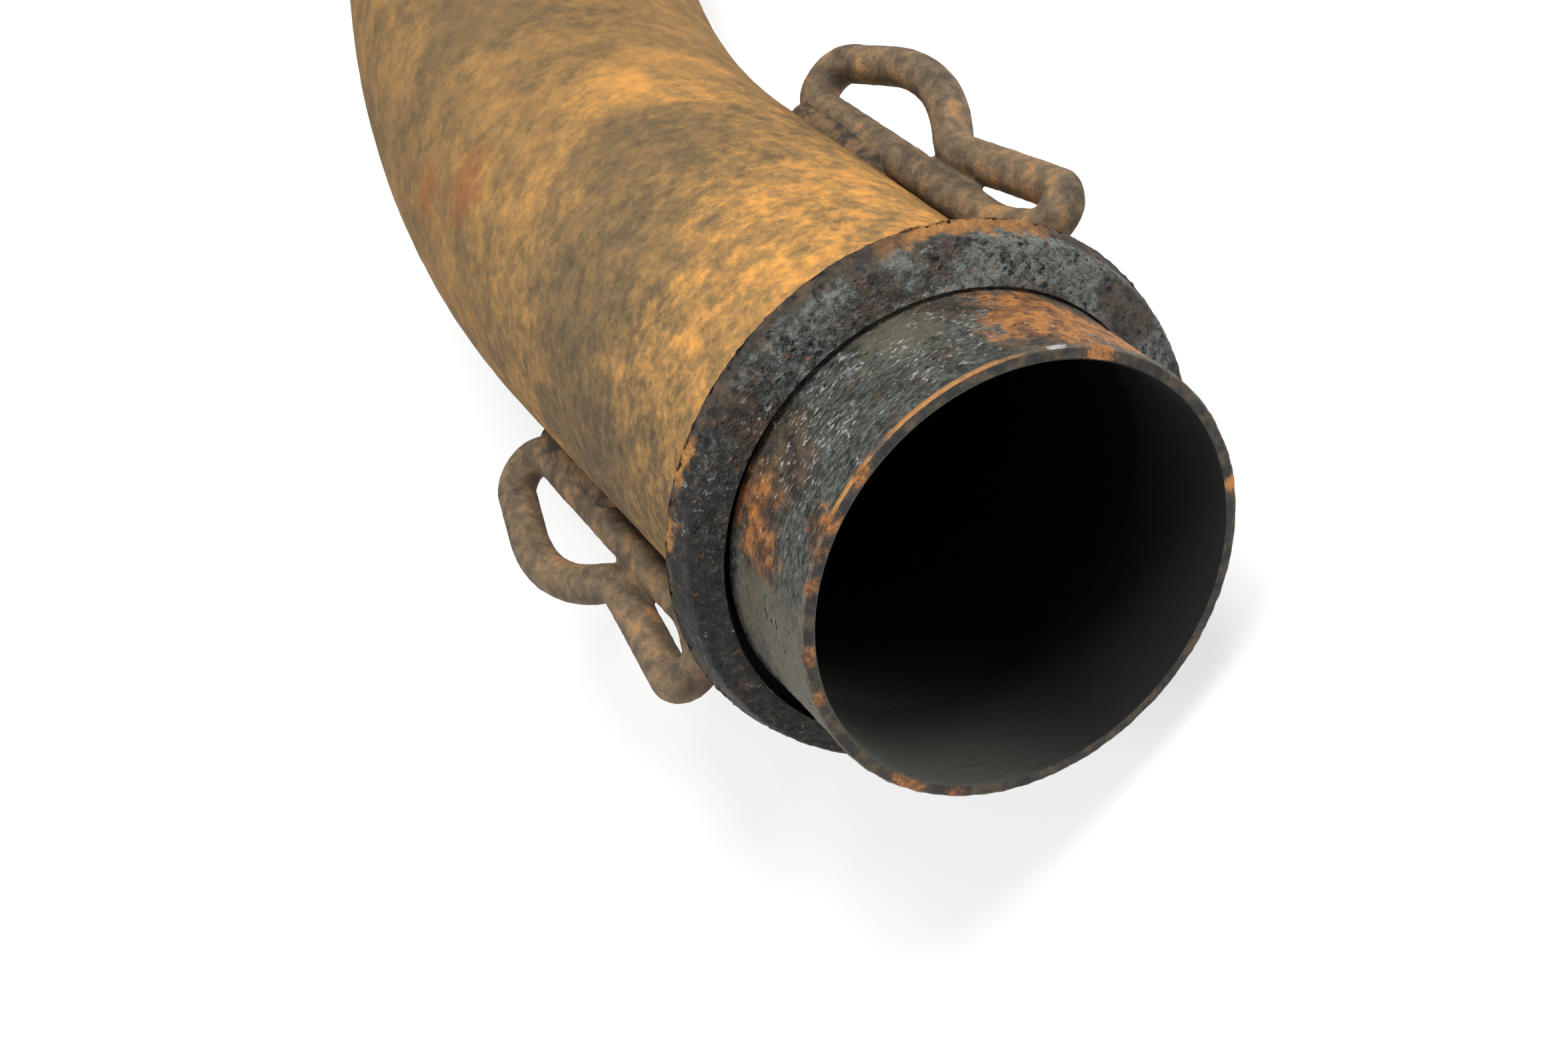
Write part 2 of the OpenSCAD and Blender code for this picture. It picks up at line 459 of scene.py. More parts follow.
# the wire's run, from the root round the leg, the tip, the neck and the hump
hook = {
    "wire": 0.0025, "around": 36,
    "legHeight": 0.0282, "front": 0.011723,
    "rootRadius": 0.0034257, "legLength": 0.041765,
    "riseRadius": 0.014, "rise": 20, "riseLength": 0.002794,
    "tipRadius": 0.00275, "dip": 8, "barLength": 0.017597,
    "neckRadius": 0.006, "climb": 35, "climbLength": 0.0006,
    "crestRadius": 0.021956, "fall": 17, "fallLength": 0.008,
    "step": 0.0008, "voxel": 0.00028, "softening": 3,
    "seated": 0.0005,       # how far the leg sits down on the tube
    "wear": [
        {"name": "rustSkin", "kind": "CLOUDS", "size": 2.8, "depth": 0.2, "noise_depth": 3, "middle": 0.7},
        {"name": "pocks", "kind": "CLOUDS", "size": 0.8, "depth": 0.12, "noise_depth": 2, "middle": 0.7},
    ],
}
hookPlaces = {
    "innerHook": {"node": "inner_hook", "setback": 0.0102, "side": 1},
    "outerHook": {"node": "outer_hook", "setback": 0.0120, "side": -1},
}
blobPlaces = {
    "innerRootWeld": {"node": "inner_root_weld", "hook": "innerHook"},
    "outerRootWeld": {"node": "outer_root_weld", "hook": "outerHook"},
}
blob = {
    "radius": 0.0031, "length": 0.0180, "segments": 48, "rings": 24,
    "foot": 0.0008,         # how far the blob's cut foot is under the tube's skin
    "voxel": 0.0003, "softening": 6,
    "wear": [{"name": "blobLumps", "kind": "CLOUDS", "size": 3.0, "depth": 0.6, "noise_depth": 2,
              "middle": 0.7}],
}


def makeWire():
    h = hook
    fall = math.radians(h["fall"])
    clearSelection()
    start = Vector((-h["legLength"] - h["rootRadius"] * math.sin(fall),
                    h["rootRadius"] * (1 + math.cos(fall)), 0))
    heading = math.pi + fall
    bpy.ops.mesh.primitive_circle_add(vertices=h["around"], radius=h["wire"], location=start,
                                      rotation=(math.pi / 2, 0, heading + math.pi / 2))
    piece = bpy.context.object
    fixPlace()
    bpy.ops.object.mode_set(mode="EDIT")
    bpy.ops.mesh.select_all(action="SELECT")
    place = start

    def go(length):
        nonlocal place
        along = Vector((math.cos(heading), math.sin(heading), 0))
        steps = max(1, round(length / h["step"]))
        pull(steps, along * (length / steps))
        place = place + along * length

    def bend(radius, degrees, side=1):
        nonlocal place, heading
        turn = math.radians(degrees)
        centre = place + Vector((-math.sin(heading), math.cos(heading), 0)) * radius * side
        steps = max(4, round(turn * (radius + h["wire"]) / h["step"]))
        bpy.ops.mesh.spin(steps=steps, angle=-turn * side, center=centre, axis=(0, 0, 1))
        place = centre + Matrix.Rotation(turn * side, 3, "Z") @ (place - centre)
        heading = heading + turn * side

    bend(h["rootRadius"], 180 - h["fall"])
    go(h["legLength"])
    bend(h["riseRadius"], h["rise"])
    go(h["riseLength"])
    bend(h["tipRadius"], 180 - h["rise"] + h["dip"])
    go(h["barLength"])
    bend(h["neckRadius"], h["dip"] + h["climb"], -1)
    go(h["climbLength"])
    bend(h["crestRadius"], h["climb"] + h["fall"])
    go(h["fallLength"])
    print("wire closes within", round((place - start).length / mm, 4), "mm")
    mergeAndTurnOut(piece)
    return piece


def footOfRise(spot):
    # the place along X where a hook's leg ends, behind the ring
    shortLeg = tube["mouthLeg"] - tube["stub"] - ringShape["thick"]
    return -tube["mouthLeg"] + shortLeg - spot["setback"] - hook["front"]


def makeHook(name, wire, material):
    spot = hookPlaces[name]
    h = hook
    pick(wire)
    bpy.ops.object.duplicate()
    piece = bpy.context.object
    piece.name = name
    melt(piece, h["voxel"], h["softening"])
    # rust fills the clearance under the leg, so the wire sits down on the tube
    piece.location = (footOfRise(spot), (h["legHeight"] - h["seated"]) * spot["side"], 0)
    piece.scale = (1, spot["side"], 1)
    fixPlace()
    mergeAndTurnOut(piece)
    markStraight(piece, points(piece))
    wear(piece, h["wear"])
    finishPiece(piece, spot["node"], material, smooth=60)


def makeRootWeld(name, material):
    b = blob
    spot = hookPlaces[blobPlaces[name]["hook"]]
    clearSelection()
    bpy.ops.mesh.primitive_uv_sphere_add(segments=b["segments"], ring_count=b["rings"], radius=b["radius"])
    piece = bpy.context.object
    piece.name = name
    # pull the ball's far half along the leg, then cut its foot off inside the tube's wall
    for vertex in piece.data.vertices:
        if vertex.co.x > 0:
            vertex.co.x += b["length"]
    bpy.ops.object.mode_set(mode="EDIT")
    bpy.ops.mesh.select_all(action="SELECT")
    bpy.ops.mesh.bisect(plane_co=(0, -b["foot"], 0), plane_no=(0, 1, 0), use_fill=True, clear_inner=True)
    bpy.ops.object.mode_set(mode="OBJECT")
    piece.location = (footOfRise(spot) - hook["legLength"], tube["outer"], 0)
    fixPlace()
    melt(piece, b["voxel"], b["softening"])
    piece.scale = (1, spot["side"], 1)
    fixPlace()
    mergeAndTurnOut(piece)
    markStraight(piece, points(piece))
    wear(piece, b["wear"])
    finishPiece(piece, blobPlaces[name]["node"], material, smooth=60)


def addNode(tree, kind, inputs=None, **settings):
    made = tree.nodes.new(kind)
    for name, value in settings.items():
        setattr(made, name, value)
    for key, value in (inputs or {}).items():
        socket = made.inputs[key]
        if isinstance(value, bpy.types.NodeSocket):
            tree.links.new(value, socket)
        else:
            socket.default_value = value
    return made


def noise(tree, vector, size, detail, rough=0.55, distort=0.0):
    inputs = {"Vector": vector, "Scale": 1 / size, "Detail": detail, "Roughness": rough,
              "Distortion": distort}
    return addNode(tree, "ShaderNodeTexNoise", inputs).outputs["Fac"]


def cells(tree, vector, size):
    inputs = {"Vector": vector, "Scale": 1 / size}
    return addNode(tree, "ShaderNodeTexVoronoi", inputs).outputs["Distance"]


def rise(tree, value, low, high):
    # a soft step from 0 to 1
    inputs = {"Value": value, "From Min": low, "From Max": high}
    return addNode(tree, "ShaderNodeMapRange", inputs, interpolation_type="SMOOTHSTEP").outputs["Result"]


def calc(tree, operation, first, second):
    return addNode(tree, "ShaderNodeMath", {0: first, 1: second}, operation=operation).outputs[0]


def total(tree, parts):
    # adds up pairs of a value and its share
    result = 0.0
    for value, share in parts:
        made = addNode(tree, "ShaderNodeMath", {0: value, 1: share, 2: result}, operation="MULTIPLY_ADD")
        result = made.outputs[0]
    return result


def blend(tree, factor, first, second):
    made = addNode(tree, "ShaderNodeMix", {0: factor, 6: first, 7: second}, data_type="RGBA")
    return made.outputs[2]


def times(tree, first, second):
    return calc(tree, "MULTIPLY", first, second)


def stretched(tree, vector, scale):
    return addNode(tree, "ShaderNodeMapping", {"Vector": vector, "Scale": scale}).outputs["Vector"]


def split(tree, vector):
    return addNode(tree, "ShaderNodeSeparateXYZ", {0: vector}).outputs


def colours(tree, value, stops):
    made = addNode(tree, "ShaderNodeValToRGB", {"Fac": value})
    ramp = made.color_ramp
    while len(ramp.elements) < len(stops):
        ramp.elements.new(0.5)
    for element, (place, colour) in zip(ramp.elements, stops):
        element.position = place
        element.color = shade(colour)
    return made.outputs["Color"]


def shade(colour):
    # written as seen on screen, 0 to 255
    linear = [((c / 255 + 0.055) / 1.055) ** 2.4 if c > 10 else c / 255 / 12.92 for c in colour]
    return (*linear, 1.0)


def newGroup(name, ins, outs):
    group = bpy.data.node_groups.new(name, "ShaderNodeTree")
    for socket, kind, value in ins:
        made = group.interface.new_socket(name=socket, in_out="INPUT", socket_type=kind)
        if value is not None:
            made.default_value = value
    for socket, kind in outs:
        group.interface.new_socket(name=socket, in_out="OUTPUT", socket_type=kind)
    return group, addNode(group, "NodeGroupInput"), addNode(group, "NodeGroupOutput")


def useGroup(tree, group, inputs):
    return addNode(tree, "ShaderNodeGroup", inputs, node_tree=group).outputs


def newMaterial(name, **constants):
    # every pattern follows the place each point has on the straight tube
    material = bpy.data.materials.new(name)
    material.use_nodes = True
    tree = material.node_tree
    shader = tree.nodes["Principled BSDF"]
    for socket, value in constants.items():
        shader.inputs[socket].default_value = value
    place = addNode(tree, "ShaderNodeAttribute", attribute_name="straight", attribute_type="GEOMETRY")
    return material, tree, shader, place.outputs["Vector"]


def bump(tree, shader, height, distance, strength):
    made = addNode(tree, "ShaderNodeBump", {"Height": height, "Strength": strength, "Distance": distance})
    tree.links.new(made.outputs["Normal"], shader.inputs["Normal"])


# the tube's inside is soot, with painted light near the mouth and painted shade on its shaded side and
# further in; the black also paints shade under the ring and in the crevices
sootPaintedLightAndShade = {"near": (86, 89, 80), "shaded": (10, 11, 10), "paintedShadeBlack": (7, 7, 7)}
# sizes of the patterns, in millimetres
mottleSizes = {"patches": 11, "blots": 2.9, "grain": 0.45}
scaleSizes = {"swirl": 2.0, "flakes": 1.1, "flecks": 1.0, "pits": 1.5, "pitGroups": 3.5}


def makeGroups():
    vector = ("Vector", "NodeSocketVector", None)
    number = "NodeSocketFloat"
    # a ragged patch round one place on the pipe
    patch, gin, gout = newGroup("rustPatch", [vector, ("Centre", "NodeSocketVector", None),
                                              ("Size", number, 10.0), ("Ragged", number, 0.5)],
                                [("Mask", number)])
    gap = addNode(patch, "ShaderNodeVectorMath", {0: gin.outputs["Vector"], 1: gin.outputs["Centre"]},
                  operation="DISTANCE").outputs["Value"]
    zoom = calc(patch, "DIVIDE", 2.5, gin.outputs["Size"])
    near = addNode(patch, "ShaderNodeVectorMath", {0: gin.outputs["Vector"], "Scale": zoom},
                   operation="SCALE").outputs[0]
    wander = calc(patch, "SUBTRACT", noise(patch, near, 1, 5, 0.65), 0.5)
    wander = times(patch, wander, times(patch, gin.outputs["Ragged"], 2.6))
    edge = calc(patch, "ADD", calc(patch, "DIVIDE", gap, gin.outputs["Size"]), wander)
    patch.links.new(rise(patch, edge, 1.2, 0.5), gout.inputs["Mask"])

    # the bore's soot with painted light and shade: lit grey near the mouth, painted shade black further in
    # and on one side
    bore, gin, gout = newGroup("boreSootPaintedLight", [vector], [("Colour", "NodeSocketColor")])
    xyz = split(bore, gin.outputs["Vector"])
    towardsShade = calc(bore, "SUBTRACT", xyz[1], xyz[2])
    near = blend(bore, rise(bore, towardsShade, -12, 16), shade(sootPaintedLightAndShade["near"]), shade(sootPaintedLightAndShade["shaded"]))
    litAndShadedSoot = blend(bore, rise(bore, xyz[0], -4, -36), near, shade(sootPaintedLightAndShade["paintedShadeBlack"]))
    bore.links.new(litAndShadedSoot, gout.inputs["Colour"])

    # soft rust: broad patches, blots and fine grain, each from 0 to 1
    rust, gin, gout = newGroup("rustMottle", [vector, ("Size", number, 1.0)],
                               [("Patches", number), ("Blots", number), ("Grain", number),
                                ("Height", number)])
    spread = addNode(rust, "ShaderNodeVectorMath", {0: gin.outputs["Vector"], 1: gin.outputs["Size"]},
                     operation="DIVIDE").outputs[0]
    broad = noise(rust, spread, mottleSizes["patches"], 3, 0.5, 0.4)
    blots = noise(rust, spread, mottleSizes["blots"], 5, 0.6, 0.2)
    grain = noise(rust, spread, mottleSizes["grain"], 3, 0.6)
    rust.links.new(rise(rust, broad, 0.3, 0.7), gout.inputs["Patches"])
    rust.links.new(rise(rust, blots, 0.3, 0.7), gout.inputs["Blots"])
    rust.links.new(rise(rust, grain, 0.25, 0.75), gout.inputs["Grain"])
    height = calc(rust, "ADD", times(rust, blots, 0.6), times(rust, grain, 0.4))
    rust.links.new(height, gout.inputs["Height"])

    # hard scale: thin flakes that overlap, with flecks on them and pits
    scale, gin, gout = newGroup("hardScale", [vector, ("Size", number, 1.0)],
                                [("Flakes", number), ("Flecks", number), ("Pits", number),
                                 ("Height", number)])
    spread = addNode(scale, "ShaderNodeVectorMath", {0: gin.outputs["Vector"], 1: gin.outputs["Size"]},
                     operation="DIVIDE").outputs[0]
    # the swirl bends the flakes out of line
    swirl = addNode(scale, "ShaderNodeTexNoise", {"Vector": spread, "Scale": 1 / scaleSizes["swirl"],
                                                  "Detail": 2.0})
    warped = addNode(scale, "ShaderNodeVectorMath",
                     {0: spread, 1: swirl.outputs["Color"]}, operation="ADD").outputs[0]
    flakes = noise(scale, warped, scaleSizes["flakes"], 5, 0.68, 0.3)
    flecks = noise(scale, warped, scaleSizes["flecks"], 5, 0.7)
    pits = rise(scale, cells(scale, warped, scaleSizes["pits"]), 0.34, 0.12)
    pitGroups = noise(scale, spread, scaleSizes["pitGroups"], 2)
    pits = times(scale, pits, rise(scale, pitGroups, 0.5, 0.6))
    scale.links.new(rise(scale, flakes, 0.3, 0.7), gout.inputs["Flakes"])
    scale.links.new(flecks, gout.inputs["Flecks"])
    scale.links.new(pits, gout.inputs["Pits"])
    height = total(scale, [(flakes, 0.7), (flecks, 0.5), (pits, -0.5)])
    scale.links.new(height, gout.inputs["Height"])
    return {"rust": rust, "scale": scale, "patch": patch, "bore": bore}


def patches(tree, groups, place, spots, ragged=0.5, reach=25.4):
    # each spot: millimetres behind the mouth, degrees round the tube and radius in millimetres
    found = 0.0
    for along, angle, size in spots:
        a = math.radians(angle)
        centre = (-along, reach * math.cos(a), reach * math.sin(a))
        made = useGroup(tree, groups["patch"], {"Vector": place, "Size": size, "Ragged": ragged,
                                                "Centre": centre})
        found = calc(tree, "MAXIMUM", made["Mask"], found)
    return found


def fromAxis(tree, place):
    # millimetres from the tube's axis
    flat = stretched(tree, place, (0, 1, 1))
    return addNode(tree, "ShaderNodeVectorMath", {0: flat}, operation="LENGTH").outputs["Value"]


tubeRust = {
    "tones": [(0.12, (58, 48, 34)), (0.34, (96, 77, 50)), (0.58, (136, 103, 59)), (0.92, (196, 137, 66))],
    "dull": (90, 76, 54),
    "stain": (118, 66, 34),
    "stretch": (1.15, 1, 1),
    "bump": (0.0007, 0.7),      # depth in metres and strength
    # patches: millimetres behind the mouth, degrees round the tube and radius in millimetres
    "brightSpots": [(34, 42, 26), (46, 68, 16), (92, 45, 13)],
    "dullSpots": [(60, 96, 17), (72, 70, 13), (128, 72, 12), (58, 140, 16)],
    "stainSpots": [(101, 107, 5), (112, 120, 4)],
}


def makeTubeRust(groups):
    look = tubeRust
    material, tree, shader, place = newMaterial("tubeRust", **{"Roughness": 0.92, "Specular IOR Level": 0.25})
    lean = stretched(tree, place, look["stretch"])
    mottle = useGroup(tree, groups["rust"], {"Vector": lean, "Size": 1.0})
    broad = noise(tree, place, 15, 3, 0.55, 0.8)
    speck = noise(tree, lean, 1.3, 5, 0.66)
    xyz = split(tree, place)
    # painted light: the tone is lighter towards +Y, the side the key lamp lights
    side = rise(tree, xyz[1], -26, 24)
    # painted light: brighter patches on the lit upper side near the ring
    lit = patches(tree, groups, place, look["brightSpots"], 0.8)
    worn = patches(tree, groups, place, look["dullSpots"], 1.0)
    # the rust is coarsest near the ring and evens out along the pipe
    near = total(tree, [(rise(tree, xyz[0], -120, -30), 0.55), (1.0, 0.45)])
    fineTone = total(tree, [(rise(tree, speck, 0.3, 0.7), 0.24), (mottle["Blots"], 0.3),
                            (mottle["Grain"], 0.1), (-0.32, 1.0)])
    tone = total(tree, [(times(tree, fineTone, near), 1.0), (0.32, 1.0),
                        (mottle["Patches"], 0.12), (side, 0.05),
                        (rise(tree, broad, 0.3, 0.7), 0.13), (lit, 0.16), (worn, -0.12)])
    skin = colours(tree, tone, look["tones"])
    skin = blend(tree, times(tree, worn, 0.4), skin, shade(look["dull"]))
    stain = times(tree, patches(tree, groups, place, look["stainSpots"], 1.2), 0.5)
    skin = blend(tree, stain, skin, shade(look["stain"]))
    inside = rise(tree, fromAxis(tree, place), 24.9, 24.3)
    # painted shade under the ring
    skin = blend(tree, rise(tree, xyz[0], -19.95, -19.75), skin, shade(sootPaintedLightAndShade["paintedShadeBlack"]))
    skin = blend(tree, inside, skin, useGroup(tree, groups["bore"], {"Vector": place})["Colour"])
    tree.links.new(skin, shader.inputs["Base Color"])
    bump(tree, shader, total(tree, [(mottle["Height"], 0.6), (speck, 0.6)]), *look["bump"])
    return material


stubScale = {
    "steel": [(0.12, (20, 21, 20)), (0.4, (64, 67, 61)), (0.68, (104, 107, 99)), (0.95, (142, 145, 136))],
    "olive": (118, 113, 92),
    "brown": [(0.2, (50, 38, 29)), (0.8, (106, 80, 54))],
    "orange": [(0.25, (64, 44, 28)), (0.48, (138, 86, 38)), (0.78, (214, 140, 62))],
    # painted highlight colour for the flecks and the edge glint
    "glint": (214, 218, 214),
    "dark": (20, 18, 16),
    "rim": [(0.2, (34, 30, 25)), (0.55, (58, 50, 40)), (0.9, (94, 76, 52))],
    "wornEdge": (214, 152, 84),
    # painted highlight along the mouth's outer edge
    "paintedEdgeHighlight": (140, 128, 106),
    "stretch": (2.4, 1, 1),
    "bump": (0.0018, 0.95),
    "orangeSpots": [(8, 29, 7.5), (6, 12, 5.5), (13.5, 116, 5), (10, 122, 3.5), (1, 108, 2.5), (1, 196, 3)],
    "oliveSpots": [(8, 146, 10), (6, 168, 8), (12, 62, 5)],
    "flakySpots": [(11, 90, 10), (8, 58, 8)],
    "wornSpots": [(0, 72, 11), (0, 98, 4)],
    "crumbSpots": [(0, 25, 1.8), (0, 92, 1.2), (0, 105, 1.5), (0, 113, 1.0), (0, 121, 1.1), (0, 139, 1.3),
                   (0, 151, 1.0), (0, 190, 2.0), (0, 205, 1.2), (0, -35, 1.0)],
    # painted glint on the mouth's outer edge
    "paintedEdgeGlintSpots": [(0.2, 37, 1.3)],
}


def makeStubScale(groups):
    look = stubScale
    material, tree, shader, place = newMaterial("stubScale")
    lean = stretched(tree, place, look["stretch"])
    scale = useGroup(tree, groups["scale"], {"Vector": lean, "Size": 0.9})
    fine = noise(tree, lean, 0.35, 3, 0.6)
    mottle = useGroup(tree, groups["rust"], {"Vector": place, "Size": 0.8})
    tone = total(tree, [(scale["Flakes"], 0.55), (fine, 0.25), (mottle["Blots"], 0.2)])
    steel = colours(tree, tone, look["steel"])
    brown = colours(tree, mottle["Blots"], look["brown"])
    steel = blend(tree, times(tree, rise(tree, mottle["Patches"], 0.4, 0.85), 0.7), steel, brown)
    olive = times(tree, patches(tree, groups, place, look["oliveSpots"], 0.9), 0.65)
    steel = blend(tree, olive, steel, shade(look["olive"]))
    orange = patches(tree, groups, place, look["orangeSpots"], 0.9)
    xyz = split(tree, place)
    # painted light: the rust is brighter towards +Y, the bend's inner side, which faces the key lamp
    rust = total(tree, [(mottle["Blots"], 0.5), (scale["Flakes"], 0.3), (fine, 0.2),
                        (rise(tree, xyz[1], -20, 24), 0.26), (-0.08, 1.0)])
    rusty = colours(tree, rust, look["orange"])
    steel = blend(tree, times(tree, orange, 0.9), steel, rusty)
    # flecks shine where they gather, by a lower roughness and a painted highlight in their colour, and the
    # hollows between them are dark
    flaky = patches(tree, groups, place, look["flakySpots"])
    cluster = noise(tree, place, 3.0, 3, 0.6)
    fleck = total(tree, [(scale["Flecks"], 1.0), (flaky, 0.07), (cluster, 0.25), (-0.125, 1.0)])
    shine = times(tree, rise(tree, fleck, 0.635, 0.70), 0.8)
    steel = blend(tree, rise(tree, fleck, 0.42, 0.34), steel, shade(look["dark"]))
    steel = blend(tree, shine, steel, shade(look["glint"]))
    steel = blend(tree, scale["Pits"], steel, shade(look["dark"]))
    # the mouth's cut face, a painted highlight along its outer edge, its worn outer edge, crumbs of bright
    # rust on it and a painted glint
    reach = fromAxis(tree, place)
    front = times(tree, rise(tree, xyz[0], -0.5, -0.25), rise(tree, reach, 25.3, 25.1))
    steel = blend(tree, front, steel, colours(tree, mottle["Blots"], look["rim"]))
    edge = times(tree, rise(tree, reach, 25.0, 25.2), rise(tree, xyz[0], -0.7, -0.35))
    worn = patches(tree, groups, place, look["wornSpots"], 1.7)
    # painted highlight along the outer edge
    steel = blend(tree, times(tree, edge, 0.4), steel, shade(look["paintedEdgeHighlight"]))
    steel = blend(tree, times(tree, edge, worn), steel, shade(look["wornEdge"]))
    crumbs = patches(tree, groups, place, look["crumbSpots"], 1.0, 24.7)
    crumbs = times(tree, crumbs, rise(tree, xyz[0], -0.9, -0.3))
    steel = blend(tree, crumbs, steel, rusty)
    # painted glint on the outer edge near the top
    paintedEdgeGlint = times(tree, patches(tree, groups, place, look["paintedEdgeGlintSpots"], 1.2, 25.3), edge)
    steel = blend(tree, paintedEdgeGlint, steel, shade(look["glint"]))
    inside = rise(tree, reach, 24.0, 23.9)
    # painted shade on the stub under the ring
    steel = blend(tree, rise(tree, xyz[0], -16.5, -16.6), steel, shade(sootPaintedLightAndShade["paintedShadeBlack"]))
    steel = blend(tree, inside, steel, useGroup(tree, groups["bore"], {"Vector": place})["Colour"])
    tree.links.new(steel, shader.inputs["Base Color"])
    tree.links.new(total(tree, [(shine, -0.25), (inside, 0.42), (1.0, 0.56)]), shader.inputs["Roughness"])
    rusted = calc(tree, "MAXIMUM", calc(tree, "MAXIMUM", orange, inside), front)
    tree.links.new(total(tree, [(rusted, -0.3), (1.0, 0.3)]), shader.inputs["Metallic"])
    bump(tree, shader, total(tree, [(scale["Height"], 1.0), (fine, 0.3)]), *look["bump"])
    return material


ringScale = {
    "steel": [(0.22, (16, 17, 16)), (0.48, (44, 46, 42)), (0.72, (84, 88, 82)), (0.98, (130, 134, 128))],
    "brown": [(0.2, (36, 28, 22)), (0.8, (84, 62, 42))],
    "speck": (138, 88, 46),
    # painted highlight colour for the flecks
    "glint": (176, 180, 174),
    "dark": (15, 14, 13),
    "pit": (13, 12, 12),
    "bump": (0.0018, 1.0),
    "crust": [(0.15, (30, 26, 22)), (0.5, (64, 54, 43)), (0.85, (108, 87, 62))],
    "bright": [(0.2, (112, 76, 40)), (0.8, (198, 138, 70))],
    "brightSpots": [(18.6, 40, 8), (18.8, 27, 5), (19, 112, 3), (19, 127, 3)],
    "wispSpots": [(16.6, 50, 6), (16.6, 120, 8), (16.6, 160, 7), (16.6, 98, 5)],
}


def makeRingScale(groups):
    look = ringScale
    material, tree, shader, place = newMaterial("ringScale")
    scale = useGroup(tree, groups["scale"], {"Vector": place, "Size": 0.9})
    mottle = useGroup(tree, groups["rust"], {"Vector": place, "Size": 0.8})
    fine = noise(tree, place, 0.3, 3, 0.65)
    xyz = split(tree, place)
    # painted light: the tone is lighter towards +Y, the ring's upper side, which faces the key lamp
    tone = total(tree, [(scale["Flakes"], 0.55), (fine, 0.25), (mottle["Blots"], 0.12),
                        (rise(tree, xyz[1], -24, 20), 0.58), (-0.18, 1.0)])
    steel = colours(tree, tone, look["steel"])
    brown = colours(tree, mottle["Blots"], look["brown"])
    steel = blend(tree, times(tree, rise(tree, mottle["Patches"], 0.45, 0.9), 0.75), steel, brown)
    specks = times(tree, rise(tree, noise(tree, place, 0.8, 3, 0.6), 0.60, 0.68), 0.55)
    steel = blend(tree, specks, steel, shade(look["speck"]))
    # flecks shine where they gather, in wisps on the face, by a lower roughness and a painted highlight in
    # their colour
    wisps = patches(tree, groups, place, look["wispSpots"], 0.8, 28.6)
    cluster = noise(tree, place, 3.5, 3, 0.6)
    fleck = total(tree, [(scale["Flecks"], 1.0), (wisps, 0.08), (cluster, 0.3), (-0.15, 1.0)])
    shine = times(tree, rise(tree, fleck, 0.66, 0.76), 0.55)
    steel = blend(tree, rise(tree, fleck, 0.44, 0.36), steel, shade(look["dark"]))
    steel = blend(tree, shine, steel, shade(look["glint"]))
    crumble = total(tree, [(mottle["Blots"], 0.5), (fine, 0.5)])
    crust = colours(tree, crumble, look["crust"])
    bright = patches(tree, groups, place, look["brightSpots"], 0.5, 31.2)
    crust = blend(tree, bright, crust, colours(tree, crumble, look["bright"]))
    # the crust covers the ring's outer band up to a ragged line on its face
    reach = fromAxis(tree, place)
    outwards = total(tree, [(mottle["Blots"], 0.5), (reach, 1.0)])
    backwards = total(tree, [(mottle["Blots"], 0.5), (xyz[0], 1.0)])
    band = times(tree, rise(tree, outwards, 30.9, 31.2), rise(tree, backwards, -16.6, -17.3))
    steel = blend(tree, band, steel, crust)
    steel = blend(tree, scale["Pits"], steel, shade(look["pit"]))
    # painted shade in the ring's bore, in the crevice round the stub
    bore = times(tree, rise(tree, reach, 27.4, 26.9), rise(tree, xyz[0], -16.9, -17.2))
    steel = blend(tree, bore, steel, shade(sootPaintedLightAndShade["paintedShadeBlack"]))
    tree.links.new(steel, shader.inputs["Base Color"])
    tree.links.new(total(tree, [(band, 0.3), (shine, -0.2), (1.0, 0.56)]), shader.inputs["Roughness"])
    tree.links.new(total(tree, [(band, -0.3), (1.0, 0.3)]), shader.inputs["Metallic"])
    bump(tree, shader, total(tree, [(scale["Height"], 1.0), (fine, 0.5)]), *look["bump"])
    return material


wireRust = {
    "tones": [(0.18, (36, 29, 21)), (0.4, (70, 57, 40)), (0.66, (100, 81, 57)), (0.92, (150, 106, 60))],
    "bump": (0.0005, 0.6),
}
weldCrust = {
    "tones": [(0.15, (40, 33, 24)), (0.5, (74, 59, 41)), (0.9, (108, 82, 53))],
    "bump": (0.0008, 0.8),
}


def makeWireRust(groups):
    material, tree, shader, place = newMaterial("wireRust", Roughness=0.8)
    mottle = useGroup(tree, groups["rust"], {"Vector": place, "Size": 0.8})
    broad = noise(tree, place, 9, 3)
    tone = total(tree, [(mottle["Blots"], 0.4), (mottle["Grain"], 0.15), (broad, 0.6)])
    tree.links.new(colours(tree, tone, wireRust["tones"]), shader.inputs["Base Color"])
    bump(tree, shader, mottle["Height"], *wireRust["bump"])
    return material


def makeWeldCrust(groups):
    material, tree, shader, place = newMaterial("weldCrust", Roughness=0.9)
    mottle = useGroup(tree, groups["rust"], {"Vector": place, "Size": 0.7})
    xyz = split(tree, place)
    skin = colours(tree, mottle["Blots"], weldCrust["tones"])
    # painted shade in the crevice in front of the bead
    skin = blend(tree, rise(tree, xyz[0], -20.2, -20.0), skin, shade(sootPaintedLightAndShade["paintedShadeBlack"]))
    tree.links.new(skin, shader.inputs["Base Color"])
    bump(tree, shader, mottle["Height"], *weldCrust["bump"])
    return material


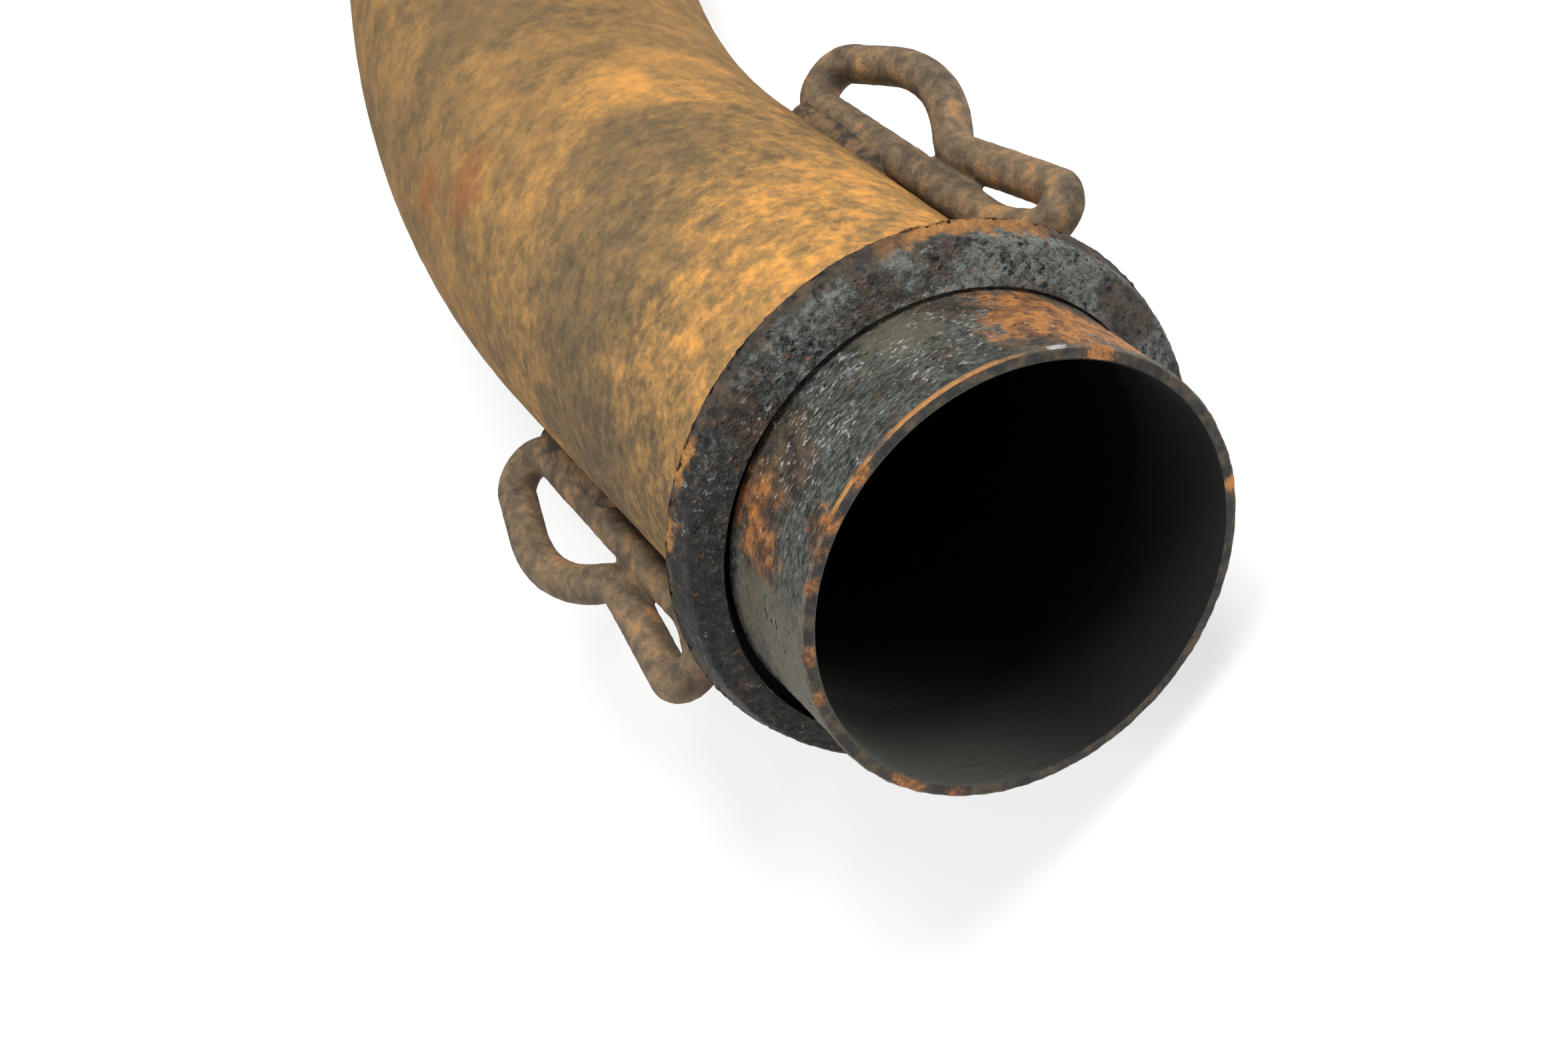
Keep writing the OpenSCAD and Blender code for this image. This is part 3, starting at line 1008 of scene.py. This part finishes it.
cameraView = {
    "place": (0.19776, 0.00676, 0.19130),
    "forward": (-0.77192, -0.06472, -0.63242),
    "up": (-0.43830, 0.77474, 0.45570),
    "lens": 62.4, "sensor": 36, "clipStart": 0.005,
}
stageLook = {
    "floorSize": 4, "floorColour": 0.80, "floorRoughness": 0.9,
    "white": 0.7,           # how far the floor turns white where it is seen
    "sky": 0.42,            # strength of the world's light on the pipe
    "aim": (-0.03, 0, 0),   # where the lamps point
    "keyPlace": (0.04, 0.34, 0.66), "keySize": 0.36, "keyEnergy": 8.6,
    "fillPlace": (0.02, -0.52, 0.44), "fillSize": 0.4, "fillEnergy": 3.2,
}


def makeCamera():
    data = bpy.data.cameras.new("camera")
    data.lens = cameraView["lens"]
    data.sensor_width = cameraView["sensor"]
    data.clip_start = cameraView["clipStart"]
    cam = bpy.data.objects.new("camera", data)
    bpy.context.scene.collection.objects.link(cam)
    forward = Vector(cameraView["forward"]).normalized()
    side = forward.cross(Vector(cameraView["up"])).normalized()
    up = side.cross(forward)
    turn = Matrix((side, up, -forward)).transposed()
    cam.matrix_world = Matrix.Translation(cameraView["place"]) @ turn.to_4x4()
    bpy.context.scene.camera = cam


def addLamp(name, place, size, energy):
    clearSelection()
    bpy.ops.object.light_add(type="AREA", location=place)
    lamp = bpy.context.object
    lamp.name = name
    lamp.data.size = size
    lamp.data.energy = energy
    aim = Vector(stageLook["aim"]) - lamp.location
    lamp.rotation_euler = aim.to_track_quat("-Z", "Y").to_euler()


def makeStage():
    s = stageLook
    clearSelection()
    bpy.ops.mesh.primitive_plane_add(size=s["floorSize"], location=(0, 0, cadBox[0][2]))
    floor = bpy.context.object
    floor.name = "floor"
    mat = bpy.data.materials.new("floor")
    mat.use_nodes = True
    tree = mat.node_tree
    shader = tree.nodes["Principled BSDF"]
    shader.inputs["Base Color"].default_value = (s["floorColour"],) * 3 + (1,)
    shader.inputs["Roughness"].default_value = s["floorRoughness"]
    # mostly white where it is seen, and the pipe's shadow stays on it
    glow = addNode(tree, "ShaderNodeEmission", {"Color": (1, 1, 1, 1), "Strength": 1.0})
    path = addNode(tree, "ShaderNodeLightPath")
    seen = calc(tree, "MAXIMUM", path.outputs["Is Camera Ray"], path.outputs["Is Glossy Ray"])
    seen = calc(tree, "MAXIMUM", seen, path.outputs["Is Transmission Ray"])
    share = times(tree, seen, s["white"])
    mixed = addNode(tree, "ShaderNodeMixShader", {0: share, 1: shader.outputs[0], 2: glow.outputs[0]})
    tree.links.new(mixed.outputs[0], tree.nodes["Material Output"].inputs["Surface"])
    floor.data.materials.append(mat)
    addLamp("key", s["keyPlace"], s["keySize"], s["keyEnergy"])
    addLamp("fill", s["fillPlace"], s["fillSize"], s["fillEnergy"])
    world = bpy.data.worlds.new("world")
    bpy.context.scene.world = world
    world.use_nodes = True
    tree = world.node_tree
    sky = tree.nodes["Background"]
    sky.inputs["Color"].default_value = (1, 1, 1, 1)
    path = addNode(tree, "ShaderNodeLightPath")
    seen = calc(tree, "MAXIMUM", path.outputs["Is Camera Ray"], path.outputs["Is Transmission Ray"])
    strength = calc(tree, "ADD", s["sky"], times(tree, seen, 1 - s["sky"]))
    tree.links.new(strength, sky.inputs["Strength"])


makeCamera()
print("camera set")
makeStage()
print("stage set")
groups = makeGroups()
print("patterns ready")
makeStub(makeStubScale(groups))
makeBody(makeTubeRust(groups))
makeRing(makeRingScale(groups))
crust = makeWeldCrust(groups)
makeRingWeld(crust)
wire = makeWire()
wireFinish = makeWireRust(groups)
for name in hookPlaces:
    makeHook(name, wire, wireFinish)
bpy.data.objects.remove(wire)
for name in blobPlaces:
    makeRootWeld(name, crust)
print("pieces made")

bpy.context.scene.view_settings.view_transform = "Standard"
bpy.context.view_layer.update()
